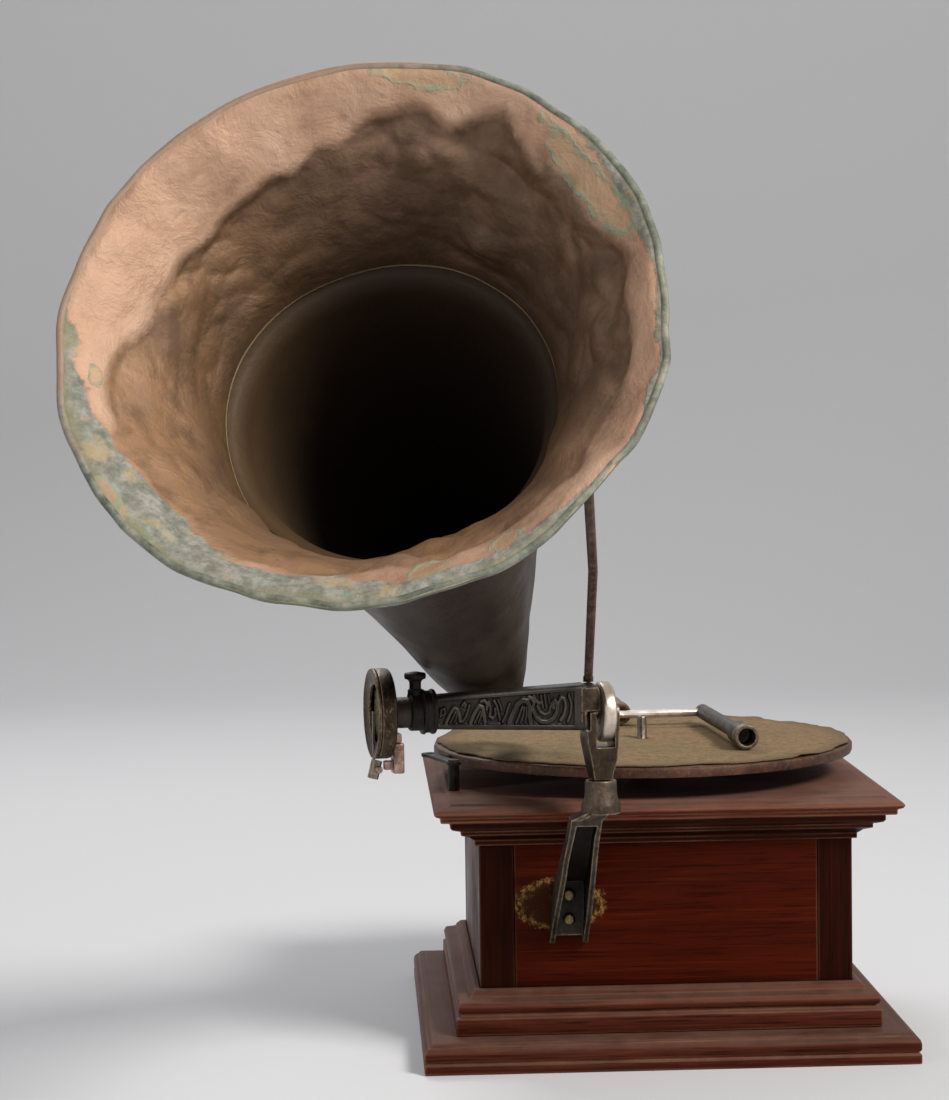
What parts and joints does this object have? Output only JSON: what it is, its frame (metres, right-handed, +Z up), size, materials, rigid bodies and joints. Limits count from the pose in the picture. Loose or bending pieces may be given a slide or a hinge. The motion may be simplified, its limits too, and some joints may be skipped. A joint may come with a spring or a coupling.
{
  "type": "horn phonograph",
  "caption": "Table-top horn phonograph: moulded square wooden case with a spring motor, felted turntable, swinging tone arm with a flared horn and soundbox, and a loose crank.",
  "frame": {"origin": "middle of the case's underside, where it rests on the table", "axes": "+Z up, -Y toward the front that carries the arm bracket, +X toward the winding side"},
  "size_m": [0.4494, 0.6621, 0.5376],
  "materials": {
    "mahogany": "worn gloss varnish",
    "dark_mahogany": "worn gloss varnish",
    "aged_brass": "aged, satin",
    "painted_iron": "dull paint",
    "gear_brass": "satin",
    "steel": "oiled, satin",
    "worn_nickel": "worn nickel plate on cast iron",
    "bright_nickel": "scratched bright nickel plate",
    "felt": "worn, dusty felt",
    "black_japan": "worn black japan",
    "horn_outside": "dull dark tarnish",
    "horn_inside": "dented, tarnished with green spots",
    "brown_fibre": "dull hard fibre",
    "grip_wood": "worn turned wood",
    "mica": "split mica sheet",
    "rubber": "perished"
  },
  "bodies": {
    "case": {"plinth_moulding": "dark_mahogany", "base_moulding": "mahogany", "cornice_moulding": "mahogany", "bottom_board": "mahogany", "corner_post_1": "dark_mahogany", "corner_post_2": "dark_mahogany", "corner_post_3": "dark_mahogany", "corner_post_4": "dark_mahogany", "front_panel": "mahogany", "back_panel": "mahogany", "left_panel": "mahogany", "right_panel": "mahogany", "winding_escutcheon": "aged_brass", "top_board": "mahogany", "motor_bedplate": "painted_iron", "motor_lower_plate": "painted_iron", "arm_bracket": "worn_nickel", "bracket_screw_1": "aged_brass", "bracket_screw_2": "aged_brass"},
    "platter": {"turntable": "aged_brass", "turntable_felt": "felt", "spindle": "worn_nickel", "worm_wheel": "gear_brass"},
    "intermediate": {"intermediate_wheel": "gear_brass"},
    "barrel": {"spring_barrel": "gear_brass", "mainspring": "steel"},
    "governor": {"governor_shaft": "steel", "governor_disc": "aged_brass", "governor_weight_1": "aged_brass", "governor_weight_2": "aged_brass", "governor_weight_3": "aged_brass"},
    "arbor": {"winding_arbor": "steel"},
    "winder": {"winding_shaft": "steel"},
    "click": {"ratchet_click": "steel"},
    "yoke": {"yoke": "worn_nickel", "pivot_pin": "bright_nickel"},
    "arm": {"tone_arm": "black_japan", "knuckle_disc": "bright_nickel", "horn_elbow": "black_japan", "horn_neck": "horn_outside", "horn_bell": "horn_inside", "support_rod": "steel", "horn_lug": "aged_brass"},
    "clamp_screw": {"thumb_screw": "black_japan"},
    "soundbox": {"soundbox_case": "aged_brass", "soundbox_ring": "aged_brass", "coupling_tube": "brown_fibre", "diaphragm": "mica", "gasket_front": "rubber", "gasket_rear": "rubber", "stylus_block": "worn_nickel"},
    "stylus": {"stylus_lever": "bright_nickel"},
    "needle_screw": {"needle_clamp": "steel"},
    "crank": {"crank_shaft": "black_japan", "crank_ferrule": "worn_nickel", "crank_rod": "bright_nickel"},
    "grip": {"crank_grip": "grip_wood"},
    "brake": {"brake_lever": "black_japan", "brake_pad": "felt"}
  },
  "joints": [
    {"name": "turntable_spin", "type": "hinge", "parent": "case", "child": "platter", "pos_m": [-0.0025, 0.0003, 0.165], "axis": [0, 0, 1], "continuous": true},
    {"name": "intermediate_spin", "type": "hinge", "parent": "case", "child": "intermediate", "pos_m": [0.01379, 0.03128, 0.1], "axis": [0, 0, 1], "continuous": true},
    {"name": "barrel_spin", "type": "hinge", "parent": "case", "child": "barrel", "pos_m": [0.05, 0.01, 0.08], "axis": [0, 0, 1], "continuous": true},
    {"name": "governor_spin", "type": "hinge", "parent": "case", "child": "governor", "pos_m": [-0.0249, 0.0003, 0.086], "axis": [0, 1, 0], "continuous": true},
    {"name": "arbor_turn", "type": "hinge", "parent": "case", "child": "arbor", "pos_m": [0.05, 0.01, 0.112], "axis": [0, 0, 1], "continuous": true},
    {"name": "winding_shaft_turn", "type": "hinge", "parent": "case", "child": "winder", "pos_m": [0.08, 0.01, 0.112], "axis": [1, 0, 0], "continuous": true},
    {"name": "click_rock", "type": "hinge", "parent": "case", "child": "click", "pos_m": [0.035, 0.0224, 0.127], "axis": [0, 0, 1], "range_deg": [0, 12], "stiffness_Nm_per_rad": 0.02},
    {"name": "brake_swing", "type": "hinge", "parent": "case", "child": "brake", "pos_m": [-0.12, -0.066, 0.168], "axis": [0, 0, 1], "range_deg": [0, 20]},
    {"name": "arm_swivel", "type": "hinge", "parent": "case", "child": "yoke", "pos_m": [-0.042, -0.158, 0.165], "axis": [0, 0, 1], "range_deg": [-100, 15]},
    {"name": "arm_tilt", "type": "hinge", "parent": "yoke", "child": "arm", "pos_m": [-0.042, -0.158, 0.207], "axis": [-0.9848, -0.1736, 0], "range_deg": [0, 6]},
    {"name": "clamp_screw_turn", "type": "hinge", "parent": "arm", "child": "clamp_screw", "pos_m": [-0.14415, -0.17601, 0.229], "axis": [0, 0, 1], "range_deg": [0, 360]},
    {"name": "soundbox_turn", "type": "hinge", "parent": "arm", "child": "soundbox", "pos_m": [-0.15752, -0.17837, 0.2108], "axis": [-0.9848, -0.1736, 0], "range_deg": [0, 90]},
    {"name": "stylus_rock", "type": "hinge", "parent": "soundbox", "child": "stylus", "pos_m": [-0.16559, -0.17979, 0.18527], "axis": [0.1736, -0.9848, 0], "range_deg": [-0.45, 0.45], "stiffness_Nm_per_rad": 0.8},
    {"name": "needle_screw_turn", "type": "hinge", "parent": "stylus", "child": "needle_screw", "pos_m": [-0.16559, -0.17979, 0.18077], "axis": [0.1736, -0.9848, 0], "range_deg": [0, 360]},
    {"name": "crank_lift", "type": "slide", "parent": "platter", "child": "crank", "axis": [0, 0, 1], "range_m": [0, 0.15]},
    {"name": "crank_grip_turn", "type": "hinge", "parent": "crank", "child": "grip", "pos_m": [-0.00988, 0.0554, 0.1801], "axis": [0.068, -0.9977, 0], "continuous": true}
  ],
  "couplings": [
    {"joint": "intermediate_spin", "follows": "turntable_spin", "ratio": -0.25},
    {"joint": "barrel_spin", "follows": "turntable_spin", "ratio": 0.05},
    {"joint": "governor_spin", "follows": "turntable_spin", "ratio": 10},
    {"joint": "winding_shaft_turn", "follows": "arbor_turn", "ratio": -2}
  ]
}
